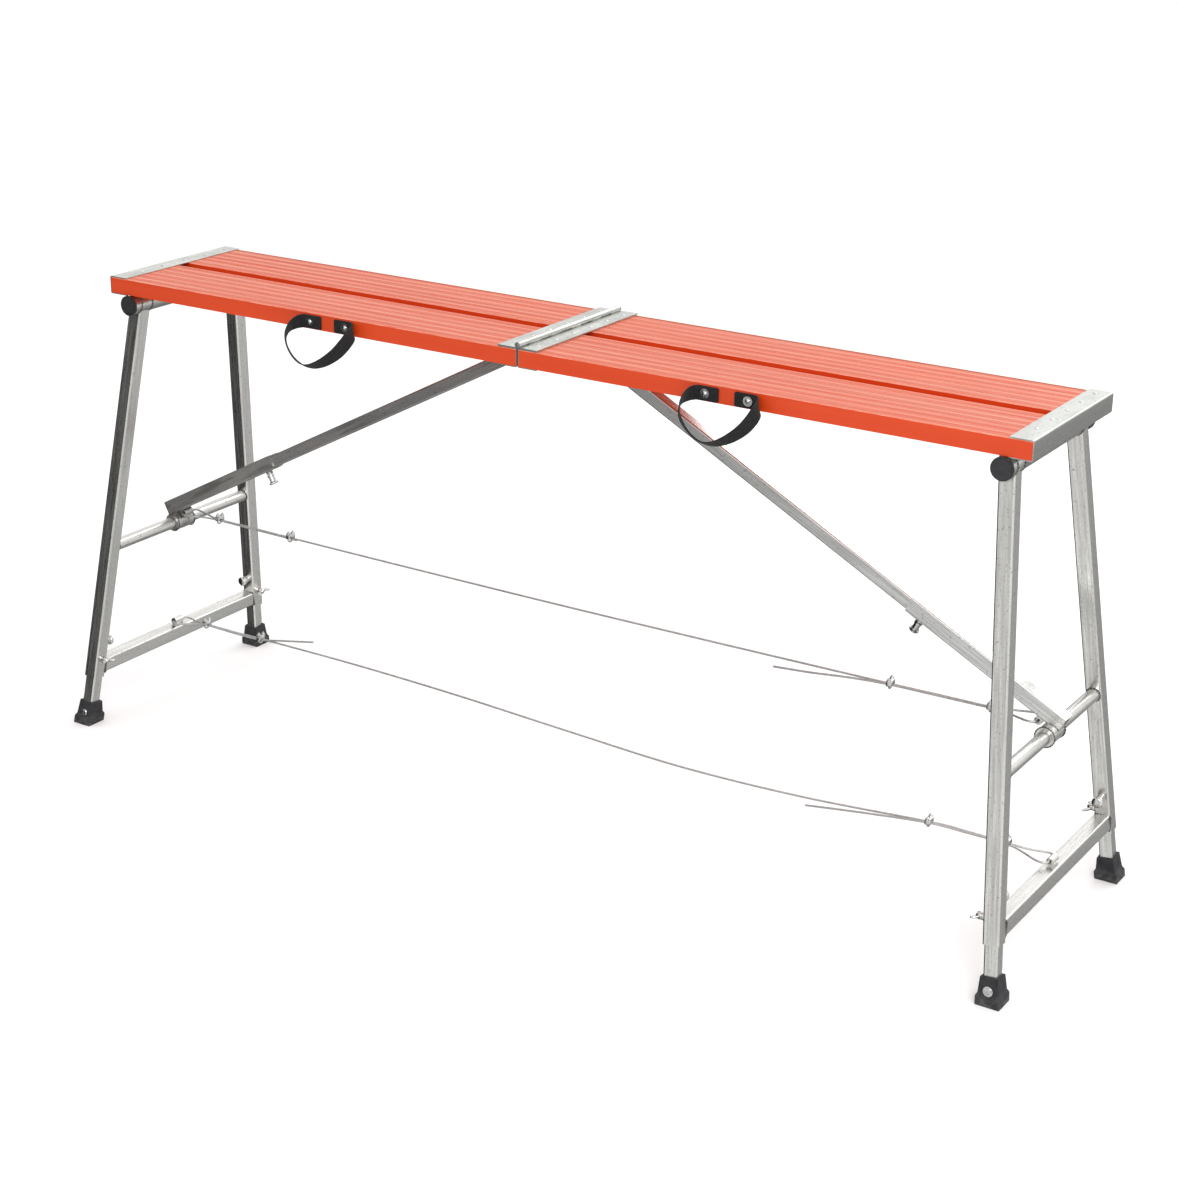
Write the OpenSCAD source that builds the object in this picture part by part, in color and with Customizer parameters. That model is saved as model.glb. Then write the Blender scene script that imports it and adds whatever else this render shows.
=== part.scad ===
// Folding work bench: a ribbed two-part deck on two A-frames that fold in under it.
// X runs along the deck, Y from the front edge to the rear edge, Z up. Millimetres.
// The origin is on the floor, below the middle of the deck.

/* [Deck] */
// Length of the deck from end to end
deck_l = 1670; // [1390:1:2010]
// Width of the deck from front to rear
deck_w = 290; // [260:2:360]
// Height of the planks' top face above the floor
deck_top = 800; // [660:1:970]
// Depth of a plank
plank_h = 27; // [24:1:34]
// Wall of the hollow planks
plank_wall = 2; // [1.6:0.1:3]
// Channel between the front and the rear plank
channel_w = 25; // [22:1:34]
// Depth of that channel below the planks' top face
channel_depth = 9; // [6:0.5:14]
// Hollow cells across a plank
plank_cells = 4; // [2:1:6]
// Groups of fine grooves across a plank's top face
groove_groups = 6; // [3:1:7]
// Fine grooves in a group
group_grooves = 4; // [2:1:4]
// Distance between the grooves of a group
groove_pitch = 3.4; // [2.6:0.1:4]
// Width of a fine groove
groove_w = 1.4; // [0.8:0.1:1.8]
// Depth of a fine groove
groove_depth = 0.6; // [0.4:0.1:1]

/* [Caps and hinge] */
// Thickness of the sheet that the caps and leaves are bent from
sheet = 1.5; // [1:0.1:2.5]
// Width of an end cap's top flange
end_flange = 36; // [30:1:50]
// Width of the flanges at the joint
joint_flange = 34; // [28:1:50]
// Gap between the two halves of the deck
joint_gap = 1.6; // [1:0.1:4]
// Outer diameter of the hinge barrel
barrel_d = 9.5; // [8:0.5:12]
// Diameter of the hinge pin
hinge_pin_d = 4; // [3:0.5:5]
// Knuckles along the hinge
knuckles = 10; // [6:2:16]
// Width of one hinge leaf
leaf_w = 35; // [30:1:50]
// Rivets across the deck in each end cap
cap_rivets = 5; // [3:1:7]
// Distance between the rivets of an end cap
cap_rivet_pitch = 53.5; // [30:0.5:60]

/* [Leg frames] */
// Distance from the deck's end to the axle that the legs turn on
axle_inset = 41.6; // [40:0.1:80]
// Outer diameter of the round tube on the axle
axle_tube_d = 32; // [30:1:40]
// Diameter of the axle inside that tube
axle_d = 26; // [22:1:26]
// Length of an axle sleeve outside its leg
sleeve_proud = 13.6; // [8:0.1:20]
// Length of an axle sleeve inside its leg
sleeve_lip = 2.4; // [2:0.1:8]
// Lean of the legs outward along the deck, in degrees
leg_lean = 6; // [2:0.5:12]
// Splay of the legs to the front and rear, in degrees
leg_splay = 8.2; // [4:0.2:12]
// Outside width of the square leg tubes
leg_tube = 25; // [22:1:32]
// Wall of the square tubes
tube_wall = 1.5; // [1.2:0.1:2]
// Radius of the square tubes' corners
tube_corner = 2.5; // [2:0.1:4]
// Height of the upper cross bar above the floor
upper_bar_h = 324; // [280:2:380]
// Diameter of the upper cross bar
upper_bar_d = 21; // [17:0.1:26]
// Height of the lower cross bar above the floor
lower_bar_h = 105; // [95:1:150]
// Outside width of the lower cross bar
lower_bar_w = 25; // [20:1:30]
// Height of the lower end of the leg tubes above the floor
leg_end_h = 86; // [70:1:90]
// Height of the leg pins above the floor
leg_pin_h = 148; // [140:1:220]
// Height of the wing bolts above the floor
wing_bolt_h = 122; // [110:1:136]

/* [Leg extensions and feet] */
// Slack on each side of a square tube that slides in another
slide_gap = 0.5; // [0.3:0.1:1]
// Travel of a leg extension
extension_travel = 250; // [100:10:300]
// Distance between the locking holes of an extension
hole_pitch = 50; // [25:5:60]
// Height of a rubber foot
foot_h = 40; // [34:1:50]
// Width of a foot at the floor
foot_w = 37; // [34:1:46]
// Height of the foot's flared base
foot_base_h = 13; // [8:1:15]
// Diameter of the screw head in a foot
screw_head_d = 15; // [10:1:16]

/* [Braces] */
// Distance from the joint to a brace's upper pivot
pivot_x = 77.5; // [74:0.5:120]
// Clearance between the planks' underside and a brace's inner tube at that pivot
pivot_clear = 3.5; // [3:0.1:8]
// Length of a brace's outer tube
brace_sleeve_l = 285; // [240:5:285]
// Distance from a brace's lower end to its pin
brace_pin_at = 260; // [200:5:265]
// Length of the inner tube that stays in the outer tube
brace_overlap = 60; // [40:5:120]
// Outer diameter of the collar that turns on the upper bar
collar_d = 30; // [27:0.5:34]
// Length of that collar
collar_l = 40; // [30:2:60]

/* [Pins, bolts and eyes] */
// Diameter of the spring pins and wing bolts
pin_d = 6; // [5:0.5:8]
// Diameter of the boss that a pin or bolt runs in
boss_d = 12; // [10:0.5:14]
// Length of that boss
boss_l = 5; // [3:0.5:7]
// Diameter of a leg pin's knob
leg_knob_d = 18; // [14:1:20]
// Length of a leg pin's knob
leg_knob_l = 12; // [8:1:16]
// Diameter of a brace pin's knob
brace_knob_d = 16; // [14:1:20]
// Length of a brace pin's knob
brace_knob_l = 18; // [12:1:20]
// Span of a wing bolt's wings
wing_span = 30; // [22:1:36]
// Outer diameter of a rope eye
eye_d = 13; // [11:0.5:16]
// Length of a rope eye
eye_l = 20; // [14:1:22]

/* [Handles and ropes] */
// Distance from the joint to the middle of a handle
strap_x = 365; // [280:5:450]
// Width of the webbing of a handle
strap_w = 22; // [18:1:24]
// Thickness of the webbing
strap_t = 1.8; // [1.2:0.1:2.5]
// Distance between the two rivets of a handle
strap_rivet_span = 71; // [60:1:80]
// Diameter of the wire ropes
rope_d = 3.6; // [2.5:0.1:4]

/* [Hidden] */
SIDES = ["left", "right"];
$fn = 48;

// Fits
run_gap = 0.05; // slack on the radius between a shaft and the hole that it turns in
end_gap = 0.5; // slack between a sleeve's end and its neighbour
knob_gap = 1; // distance from a knob to its boss
ear_gap = 0.7; // slack on each side of a brace in its bracket
strap_gap = 0.3; // slack behind and in front of the webbing at its rivets

// Deck
plank_w = (deck_w - channel_w) / 2;
plank_bottom = deck_top - plank_h;
plank_l = deck_l / 2 - joint_gap / 2 - 2 * sheet;
plank_x = joint_gap / 2 + sheet;
cell_w = (plank_w - (plank_cells + 1) * plank_wall) / plank_cells;
group_pitch = plank_w / groove_groups;
edge_chamfer = 1;
lip_gap = 0.3;
rivet_r = 2;
cap_rivet_y = 17; // the row of cap rivets sits this far to the rear of the middle
cap_rivet_in = 20;
leaf_rivets = 6;
leaf_rivet_in = 14;
barrel_z = deck_top + sheet + 0.25 + barrel_d / 2;
knuckle_l = deck_w / knuckles;
knuckle_gap = 0.4;

// Axle and legs
axle_x = deck_l / 2 - axle_inset;
axle_z = plank_bottom - sheet - axle_tube_d / 2;
sleeve_out = deck_w / 2 + 0.5;
sleeve_in = sleeve_out - sleeve_proud - leg_tube - sleeve_lip;
leg_y = sleeve_out - sleeve_proud - leg_tube / 2;
slide_tube = leg_tube - 2 * tube_wall - 2 * slide_gap;
foot_rim = slide_tube + 6;
foot_neck = foot_rim + 4.5;
function along_plane(h) = (axle_z - h) / cos(leg_lean);
function along_leg(h) = (axle_z - h) / (cos(leg_lean) * cos(leg_splay));
function leg_point(h) = [
    axle_x + (axle_z - h) * tan(leg_lean),
    leg_y + (axle_z - h) * tan(leg_splay) / cos(leg_lean),
    h
];

// Braces
bar_x = axle_x + (axle_z - upper_bar_h) * tan(leg_lean);
pivot_z = plank_bottom - slide_tube / 2 - pivot_clear;
brace_rise = collar_d / 2 + leg_tube / 2;
pivot_far = norm([bar_x - pivot_x, pivot_z - upper_bar_h]);
brace_angle = atan2(pivot_z - upper_bar_h, bar_x - pivot_x) - asin(brace_rise / pivot_far);
pivot_s = sqrt(pivot_far * pivot_far - brace_rise * brace_rise);
brace_low = 10; // the outer tube reaches this far below the collar's axis
brace_end = 8; // the inner tube reaches this far past the upper pivot
pivot_bolt_d = 8;
pin_s = brace_pin_at - brace_low;
inner_low_s = brace_sleeve_l - brace_low - brace_overlap;

// Handles: half of one handle from its sewn end to its lowest point, as offsets
// along X from the middle, out from the front face, and up from the rivets' line
strap_z = deck_top - 15;
strap_half = [
    [13, 0, 0], [26, 0, 0], [45, 0, 0], [53, -3, -1], [58, -10, -3], [61, -22, -8],
    [59, -34, -18], [50, -43, -31], [34, -50, -44], [16, -54, -53], [0, -55, -56]
];
// Direction of the webbing's width at those points
strap_lean = [
    [0, 0, 1], [0, 0, 1], [0, 0, 1], [0, -0.1, 1], [-0.15, -0.2, 0.95], [-0.35, -0.4, 0.85],
    [-0.4, -0.55, 0.7], [-0.35, -0.65, 0.65], [-0.2, -0.75, 0.6], [-0.1, -0.85, 0.5], [0, -0.9, 0.45]
];

// Ropes: routes from one free end, through both eyes, to the other free end
upper_rope = [
    [-566, -2, 339], [-582, -2, 339], [-660, -2, 340], [-745, -2, 341],
    [-775, -7, 342], [-798, -15, 342], [-812, -18, 342], [-820, -14, 342], [-822.5, -6, 342],
    [-822.5, 6, 342], [-820, 14, 342], [-812, 18, 342], [-798, 15, 342], [-775, 7, 342],
    [-745, 2, 341], [-660, 2, 340], [-582, 2, 339], [-300, 2, 337], [0, 2, 336], [300, 2, 337],
    [582, 2, 339], [660, 2, 340], [745, 2, 341],
    [775, 7, 342], [798, 15, 342], [812, 18, 342], [820, 14, 342], [822.5, 6, 342],
    [822.5, -6, 342], [820, -14, 342], [812, -18, 342], [798, -15, 342], [775, -7, 342],
    [745, -2, 341], [660, -2, 340], [582, -2, 339], [520, -4, 336], [450, -8, 330], [388, -10, 326]
];
lower_rope = [
    [-538, 0, 152], [-600, -2, 141], [-660, -2, 130], [-720, -2, 129], [-788, -2, 130],
    [-816, -7, 127], [-836, -15, 125], [-849, -18, 124.5], [-857, -14, 124.4], [-859.7, -6, 124.4],
    [-859.7, 6, 124.4], [-857, 14, 124.4], [-849, 18, 124.5], [-836, 15, 125], [-816, 7, 127],
    [-788, 2, 130], [-720, 2, 129], [-660, 2, 130], [-450, 2, 130], [-230, 2, 125], [0, 2, 115],
    [220, 2, 107], [440, 2, 113], [660, 2, 130], [720, 2, 131], [788, 2, 130],
    [816, 7, 127], [836, 15, 125], [849, 18, 124.5], [857, 14, 124.4], [859.7, 6, 124.4],
    [859.7, -6, 124.4], [857, -14, 124.4], [849, -18, 124.5], [836, -15, 125], [816, -7, 127],
    [788, -2, 130], [720, -2, 131], [660, -2, 130], [560, -4, 119], [452, -5, 104]
];
// Places of the rope clips on the two ropes, along X and Z
upper_clips = [[745, 341], [582, 339]];
lower_clips = [[788, 130], [660, 130]];
clip_l = 9;
clip_w = 15;
clip_h = 9;
strand_gap = 4; // distance between the two strands in a clip

// Curves through points, and tubes and bands along them
function mix(a, b, t) = a + (b - a) * t;
function unit(v) = v / norm(v);
function spline_point(p, i, t) =
    let (n = len(p) - 1,
         a = p[max(i - 1, 0)], b = p[i], c = p[min(i + 1, n)], d = p[min(i + 2, n)])
    0.5 * (2 * b + (c - a) * t + (2 * a - 5 * b + 4 * c - d) * t * t + (3 * b - a - 3 * c + d) * t * t * t);
function spline(p, steps) = [
    for (i = [0 : len(p) - 2], k = [0 : steps - 1]) spline_point(p, i, k / steps),
    p[len(p) - 1]
];
function heading(p, i) = unit(p[min(i + 1, len(p) - 1)] - p[max(i - 1, 0)]);
function tube_ring(p, i, r, sides) =
    let (t = heading(p, i), a = unit(cross(t, [0, 0, 1])), b = cross(a, t))
    [for (k = [0 : sides - 1]) p[i] + r * (a * cos(360 * k / sides) + b * sin(360 * k / sides))];
function band_ring(p, lean, i, w, h) =
    let (t = heading(p, i), a = unit(lean[i] - (lean[i] * t) * t), b = cross(t, a))
    [p[i] - a * w / 2 - b * h / 2, p[i] + a * w / 2 - b * h / 2,
     p[i] + a * w / 2 + b * h / 2, p[i] - a * w / 2 + b * h / 2];
function mirrored_x(p) = [for (i = [len(p) - 2 : -1 : 0]) [-p[i][0], p[i][1], p[i][2]]];

module skin(rings) {
    sides = len(rings[0]);
    last = len(rings) - 1;
    polyhedron(
        points = [for (r = rings, q = r) q],
        faces = concat(
            [[for (k = [sides - 1 : -1 : 0]) k]],
            [for (i = [0 : last - 1], k = [0 : sides - 1])
                [i * sides + k, i * sides + (k + 1) % sides, (i + 1) * sides + (k + 1) % sides]],
            [for (i = [0 : last - 1], k = [0 : sides - 1])
                [i * sides + k, (i + 1) * sides + (k + 1) % sides, (i + 1) * sides + k]],
            [[for (k = [0 : sides - 1]) last * sides + k]]
        )
    );
}

// Everything is drawn on the right and to the rear, and mirrored to the left and the front
module on_side(name) {
    if (name == "left") mirror([1, 0, 0]) children();
    else children();
}
module on_row(name) {
    if (name == "front") mirror([0, 1, 0]) children();
    else children();
}
module at_frame() {
    translate([axle_x, 0, axle_z]) rotate([0, -leg_lean, 0]) children();
}
module at_leg(h) {
    at_frame() translate([0, leg_y, 0]) rotate([leg_splay, 0, 0]) translate([0, 0, -along_leg(h)]) children();
}
module at_brace() {
    translate([bar_x, 0, upper_bar_h]) rotate([0, brace_angle, 0]) children();
}
module box(lo, hi) {
    translate(lo) cube(hi - lo);
}
module round_y(d, y1, y2) {
    translate([0, y1, 0]) rotate([-90, 0, 0]) cylinder(d = d, h = y2 - y1);
}
module round_rect(w, h, r) {
    square([w - 2 * r, h], center = true);
    square([w, h - 2 * r], center = true);
    for (x = [-1, 1], y = [-1, 1])
        translate([x * (w / 2 - r), y * (h / 2 - r)]) circle(r = r);
}
module square_tube(w, wall, z1, z2) {
    translate([0, 0, z1]) linear_extrude(z2 - z1) difference() {
        round_rect(w, w, tube_corner);
        round_rect(w - 2 * wall, w - 2 * wall, max(tube_corner - wall, 0.2));
    }
}
// A sheet bent into a C round the ends of the planks: the web's outer face stands at X = 0
module bent_cap(flange) {
    h = plank_h + 2 * sheet;
    translate([0, deck_w / 2, plank_bottom - sheet]) rotate([90, 0, 0]) linear_extrude(deck_w) difference() {
        union() {
            translate([flange / 2, h / 2]) round_rect(flange, h, 1.8 * sheet);
            translate([flange / 2, 0]) square([flange / 2, h]);
        }
        translate([sheet, sheet]) square([flange, plank_h]);
    }
}
// A rivet with its head above Z = 0 and its shank below
module rivet(head_d, head_h, grip, shank_r = rivet_r) {
    ball_r = (head_d * head_d / 4 + head_h * head_h) / (2 * head_h);
    intersection() {
        translate([0, 0, head_h - ball_r]) sphere(r = ball_r);
        cylinder(d = head_d, h = head_h);
    }
    translate([0, 0, -grip]) cylinder(r = shank_r, h = grip + head_h / 2);
}

// Places of the fasteners on one half of the deck
function cap_rivet_places() = [
    for (i = [0 : cap_rivets - 1])
        [deck_l / 2 - cap_rivet_in, cap_rivet_y + (i - (cap_rivets - 1) / 2) * cap_rivet_pitch]
];
function leaf_rivet_places() = [
    for (i = [0 : leaf_rivets - 1])
        [joint_gap / 2 + leaf_w - leaf_rivet_in, deck_w * ((i + 0.5) / leaf_rivets - 0.5)]
];
function strap_rivet_places() = [strap_x - strap_rivet_span / 2, strap_x + strap_rivet_span / 2];

// ---- Deck ----
module plank_outline() {
    c = edge_chamfer;
    difference() {
        polygon([[0, 0], [plank_w, 0], [plank_w, plank_h - c], [plank_w - c, plank_h],
                 [c, plank_h], [0, plank_h - c]]);
        for (i = [0 : plank_cells - 1])
            translate([plank_wall + i * (cell_w + plank_wall), plank_wall])
                square([cell_w, plank_h - 2 * plank_wall]);
        for (g = [0 : groove_groups - 1], k = [0 : group_grooves - 1])
            translate([(g + 0.5) * group_pitch + (k - (group_grooves - 1) / 2) * groove_pitch - groove_w / 2,
                       plank_h - groove_depth])
                square([groove_w, groove_depth + 1]);
    }
}
module rivet_holes() {
    for (p = concat(cap_rivet_places(), leaf_rivet_places()))
        translate([p[0], p[1], deck_top - plank_wall - 1]) cylinder(r = rivet_r, h = plank_wall + sheet + 3);
}
// The plank between y1 and y1 + plank_w
module plank(y1) {
    difference() {
        translate([plank_x, y1, plank_bottom]) rotate([90, 0, 90]) linear_extrude(plank_l) plank_outline();
        rivet_holes();
        for (x = strap_rivet_places())
            translate([x, 0, strap_z]) round_y(2 * rivet_r, -deck_w / 2 - 1, -deck_w / 2 + plank_wall + 1);
    }
}
module plank_front() {
    color("orangered") {
        plank(-deck_w / 2);
        box([plank_x, -channel_w / 2, deck_top - channel_depth - plank_wall],
            [plank_x + plank_l, channel_w / 2 - lip_gap, deck_top - channel_depth]);
    }
}
module plank_rear() {
    color("orangered") plank(channel_w / 2);
}
module end_cap() {
    tube_flange = axle_inset + 13;
    color("gainsboro") difference() {
        union() {
            translate([deck_l / 2, 0, 0]) mirror([1, 0, 0]) bent_cap(end_flange);
            box([deck_l / 2 - tube_flange, -sleeve_in + end_gap, plank_bottom - sheet],
                [deck_l / 2 - end_flange + 1, sleeve_in - end_gap, plank_bottom]);
            translate([axle_x, 0, axle_z]) round_y(axle_tube_d, -sleeve_in + end_gap, sleeve_in - end_gap);
            box([axle_x - 6, -sleeve_in + end_gap, plank_bottom - sheet - 1.5],
                [axle_x + 6, sleeve_in - end_gap, plank_bottom - sheet]);
        }
        translate([axle_x, 0, axle_z]) round_y(axle_d, -deck_w, deck_w);
        rivet_holes();
    }
}
module axle() {
    color("silver") translate([axle_x, 0, axle_z]) difference() {
        round_y(axle_d, -sleeve_out, sleeve_out);
        round_y(axle_d - 6, -deck_w, deck_w);
    }
}
module axle_plugs() {
    flange_d = axle_tube_d + 2.5;
    for (row = ["front", "rear"])
        color("dimgray") on_row(row) translate([axle_x, 0, axle_z]) {
            round_y(flange_d, sleeve_out + end_gap, sleeve_out + end_gap + 3);
            round_y(flange_d - 5, sleeve_out + end_gap + 3, sleeve_out + end_gap + 4);
            round_y(axle_d - 6, sleeve_out - 14, sleeve_out + end_gap);
        }
}
module joint_cap() {
    color("gainsboro") difference() {
        translate([joint_gap / 2, 0, 0]) bent_cap(joint_flange);
        rivet_holes();
    }
}
// One leaf with every second knuckle, starting at the knuckle with the number first
module hinge_leaf(first) {
    x_in = barrel_d / 2 + 0.8;
    leaf_z = deck_top + sheet;
    color("gainsboro") difference() {
        union() {
            box([x_in, -deck_w / 2, leaf_z], [joint_gap / 2 + leaf_w, deck_w / 2, leaf_z + sheet]);
            for (i = [first : 2 : knuckles - 1]) {
                y1 = -deck_w / 2 + i * knuckle_l + knuckle_gap / 2;
                y2 = y1 + knuckle_l - knuckle_gap;
                translate([0, 0, barrel_z]) round_y(barrel_d, y1, y2);
                box([0, y1, leaf_z + 0.3], [x_in + 1, y2, leaf_z + sheet]);
            }
        }
        translate([0, 0, barrel_z]) round_y(hinge_pin_d + 2 * run_gap, -deck_w, deck_w);
        for (p = leaf_rivet_places())
            translate([p[0], p[1], leaf_z - 1]) cylinder(r = rivet_r, h = sheet + 2);
    }
}
module hinge_pin() {
    color("silver") translate([0, 0, barrel_z]) round_y(hinge_pin_d, -deck_w / 2 - 1, deck_w / 2 + 1);
}
module rivets() {
    color("lightgray") {
        for (p = cap_rivet_places())
            translate([p[0], p[1], deck_top + sheet]) rivet(8, 1.8, plank_wall + sheet);
        for (p = leaf_rivet_places())
            translate([p[0], p[1], deck_top + 2 * sheet]) rivet(7, 1.5, plank_wall + 2 * sheet);
        for (x = strap_rivet_places())
            translate([x, -deck_w / 2 - strap_t - 2 * strap_gap, strap_z]) rotate([90, 0, 0]) {
                rivet(9, 3, plank_wall + strap_t + 2 * strap_gap);
                cylinder(d = 15, h = 1);
            }
    }
}
module strap() {
    path = spline(concat(strap_half, mirrored_x(strap_half)), 2);
    lean = spline(concat(strap_lean, mirrored_x(strap_lean)), 2);
    color("black") difference() {
        translate([strap_x, -deck_w / 2 - strap_gap - strap_t / 2, strap_z])
            skin([for (i = [0 : len(path) - 1]) band_ring(path, lean, i, strap_w, strap_t)]);
        for (x = strap_rivet_places())
            translate([x, 0, strap_z]) round_y(2 * rivet_r, -deck_w / 2 - strap_t - 2, -deck_w / 2 + 1);
    }
}
// Two angle pieces that carry the upper end of a brace between them
module brace_bracket() {
    ear_y = leg_tube / 2 + ear_gap;
    color("silver") for (row = ["front", "rear"]) on_row(row) difference() {
        union() {
            box([pivot_x - 22, ear_y, plank_bottom - sheet], [pivot_x + 22, ear_y + 26, plank_bottom]);
            box([pivot_x - 10, ear_y, pivot_z - 10], [pivot_x + 10, ear_y + 2, plank_bottom]);
            translate([pivot_x, 0, pivot_z]) round_y(14, ear_y, ear_y + 7);
        }
        translate([pivot_x, 0, pivot_z]) round_y(pivot_bolt_d - 2, 0, ear_y + 3);
    }
}

// ---- Leg frames ----
// A leg: the sleeve that turns on the axle, the square tube, and the bosses for its pin and bolt
module leg() {
    top = sqrt(pow(axle_tube_d / 2, 2) - pow(leg_tube / 2, 2));
    reach = along_leg(leg_end_h);
    color("lightgray") difference() {
        union() {
            translate([axle_x, 0, axle_z]) round_y(axle_tube_d, sleeve_in, sleeve_out);
            at_leg(leg_end_h) square_tube(leg_tube, tube_wall, 0, reach - top);
            at_leg(leg_pin_h) round_y(boss_d, -leg_tube / 2 - boss_l, -leg_tube / 2 + tube_wall);
            at_leg(wing_bolt_h) rotate([0, 0, -90])
                round_y(boss_d, -leg_tube / 2 - boss_l, -leg_tube / 2 + tube_wall);
        }
        translate([axle_x, 0, axle_z]) round_y(axle_d + 2 * run_gap, -deck_w, deck_w);
        at_leg(leg_pin_h) round_y(pin_d + 2 * run_gap, -leg_tube, 0);
        at_leg(wing_bolt_h) rotate([0, 0, -90]) round_y(pin_d + 2 * run_gap, -leg_tube, 0);
    }
}
// The space between the two legs of a frame, from one height to another
module between_legs(h1, h2) {
    function inner(h) = leg_y + along_plane(h) * tan(leg_splay) - leg_tube / 2 / cos(leg_splay);
    at_frame() rotate([90, 0, 90]) translate([0, 0, -leg_tube])
        linear_extrude(2 * leg_tube)
            polygon([[-inner(h1), -along_plane(h1)], [inner(h1), -along_plane(h1)],
                     [inner(h2), -along_plane(h2)], [-inner(h2), -along_plane(h2)]]);
}
module upper_bar() {
    color("lightgray") intersection() {
        between_legs(upper_bar_h - 40, upper_bar_h + 40);
        translate([bar_x, 0, upper_bar_h]) difference() {
            round_y(upper_bar_d, -deck_w, deck_w);
            round_y(upper_bar_d - 2 * tube_wall, -2 * deck_w, 2 * deck_w);
        }
    }
}
module lower_bar() {
    bar_z = -along_plane(lower_bar_h);
    eye_z = bar_z + lower_bar_w / 2 + eye_d / 2;
    color("lightgray") {
        intersection() {
            between_legs(lower_bar_h - 40, lower_bar_h + 40);
            at_frame() translate([0, 0, bar_z]) rotate([90, 0, 0])
                square_tube(lower_bar_w, tube_wall, -2 * deck_w, 2 * deck_w);
        }
        at_frame() difference() {
            union() {
                translate([0, 0, eye_z]) round_y(eye_d, -eye_l / 2, eye_l / 2);
                box([-4, -eye_l / 2, bar_z + lower_bar_w / 2 - 0.5], [4, eye_l / 2, eye_z]);
            }
            translate([0, 0, eye_z]) round_y(eye_d - 5, -eye_l, eye_l);
        }
    }
}

// ---- Braces ----
// The outer tube with its collar, its rope eye and the boss for its pin
module brace_sleeve() {
    under = brace_rise - leg_tube / 2;
    eye_x = -brace_low - eye_d;
    color("lightgray") at_brace() difference() {
        union() {
            translate([brace_low - brace_sleeve_l, 0, brace_rise]) rotate([0, 90, 0])
                linear_extrude(brace_sleeve_l) round_rect(leg_tube, leg_tube, tube_corner);
            box([-9, -leg_tube / 2, 0], [9, leg_tube / 2, under + 1]);
            round_y(collar_d, -collar_l / 2, collar_l / 2);
            translate([eye_x, 0, under - eye_d / 2]) round_y(eye_d, -eye_l / 2, eye_l / 2);
            box([eye_x - 3, -eye_l / 2, under - eye_d / 2], [eye_x + 3, eye_l / 2, under + 1]);
            translate([-pin_s, 0, under - boss_l]) cylinder(d = boss_d, h = boss_l + 1);
        }
        box([-brace_sleeve_l, -leg_tube / 2 + tube_wall, under + tube_wall],
            [2 * brace_low, leg_tube / 2 - tube_wall, under + leg_tube - tube_wall]);
        round_y(upper_bar_d + 2 * run_gap, -collar_l, collar_l);
        translate([eye_x, 0, under - eye_d / 2]) round_y(eye_d - 5, -eye_l, eye_l);
        translate([-pin_s, 0, under - boss_l - 1]) cylinder(r = pin_d / 2 + run_gap, h = boss_l + tube_wall + 2);
    }
}
module brace_inner() {
    color("silver") at_brace() difference() {
        translate([0, 0, brace_rise]) rotate([0, 90, 0])
            square_tube(slide_tube, tube_wall, -pivot_s - brace_end, -inner_low_s);
        translate([-pivot_s, 0, brace_rise]) round_y(pivot_bolt_d + 0.4, -leg_tube, leg_tube);
        translate([-pin_s, 0, 0]) cylinder(d = pin_d + 1, h = brace_rise);
    }
}
module brace_pin() {
    under = brace_rise - leg_tube / 2;
    knob_z = under - boss_l - knob_gap;
    color("lightgray") at_brace() translate([-pin_s, 0, 0]) {
        translate([0, 0, knob_z - 2]) cylinder(d = pin_d, h = under + tube_wall - knob_z + 2);
        translate([0, 0, knob_z - brace_knob_l + 2]) cylinder(d = brace_knob_d, h = brace_knob_l - 2);
        translate([0, 0, knob_z - brace_knob_l]) cylinder(d = brace_knob_d - 3, h = 2.5);
    }
}

// ---- Extensions and feet ----
module extension() {
    low = 8;
    top = along_leg(low) - along_leg(leg_pin_h) + extension_travel + 40;
    holes = floor(extension_travel / hole_pitch);
    color("silver") at_leg(low) difference() {
        square_tube(slide_tube, tube_wall, 0, top);
        for (i = [0 : holes])
            translate([0, 0, along_leg(low) - along_leg(leg_pin_h) + i * hole_pitch])
                round_y(pin_d + 1, -leg_tube, 0);
        translate([0, 0, along_leg(low) - along_leg(foot_h / 2)]) round_y(2 * rivet_r + 1, 0, leg_tube);
    }
}
module floor_plate(h, w) {
    p = leg_point(h);
    translate([p[0] - w / 2, p[1] - w / 2, h]) cube([w, w, 0.01]);
}
module foot() {
    color("dimgray") difference() {
        union() {
            hull() {
                at_leg(foot_h) translate([-foot_rim / 2, -foot_rim / 2, -0.01]) cube([foot_rim, foot_rim, 0.01]);
                floor_plate(foot_base_h + 5, foot_neck);
            }
            hull() {
                floor_plate(foot_base_h + 5, foot_neck);
                floor_plate(foot_base_h, foot_w);
            }
            hull() {
                floor_plate(foot_base_h, foot_w);
                floor_plate(0, foot_w);
            }
        }
        at_leg(8) box([-slide_tube / 2, -slide_tube / 2, 0], [slide_tube / 2, slide_tube / 2, 2 * foot_h]);
        at_leg(foot_h / 2) round_y(screw_head_d + 1, foot_neck / 2 - 0.8, foot_neck);
        at_leg(foot_h / 2) round_y(2 * rivet_r + 1, 0, leg_tube);
    }
}
module foot_screw() {
    seat = foot_neck / 2 - 0.8;
    color("silver") at_leg(foot_h / 2) difference() {
        union() {
            round_y(screw_head_d, seat, seat + 1.2);
            round_y(screw_head_d - 4, seat + 1.2, seat + 3);
            round_y(2 * rivet_r + 1, slide_tube / 2 - tube_wall - 2, seat);
        }
        translate([-0.7, seat + 1.8, -screw_head_d]) cube([1.4, 3, 2 * screw_head_d]);
    }
}

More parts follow.
